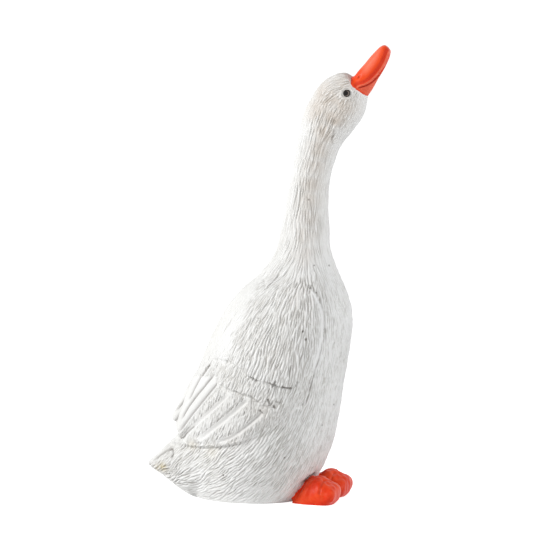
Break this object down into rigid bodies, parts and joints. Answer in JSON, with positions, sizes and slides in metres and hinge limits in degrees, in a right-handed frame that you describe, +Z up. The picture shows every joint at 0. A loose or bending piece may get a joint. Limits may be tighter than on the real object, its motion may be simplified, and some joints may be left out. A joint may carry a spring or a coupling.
{
  "type": "goose figurine",
  "caption": "Standing goose figurine with stretched neck and raised bill, one carved and painted resin casting that rests on its flat underside",
  "frame": {"origin": "centre of the bounding box, on the ground plane under the flat underside", "axes": "+Z up, +X forward toward the breast and bill, +Y to the goose's left"},
  "size_m": [0.1612, 0.1016, 0.2995],
  "materials": {
    "painted_resin": "matte white paint over carved plumage with a thin grey-brown wash in the grooves, satin orange-red bill and feet, dark painted eyes"
  },
  "bodies": {
    "root": {"goose_figurine": "painted_resin"}
  },
  "joints": []
}
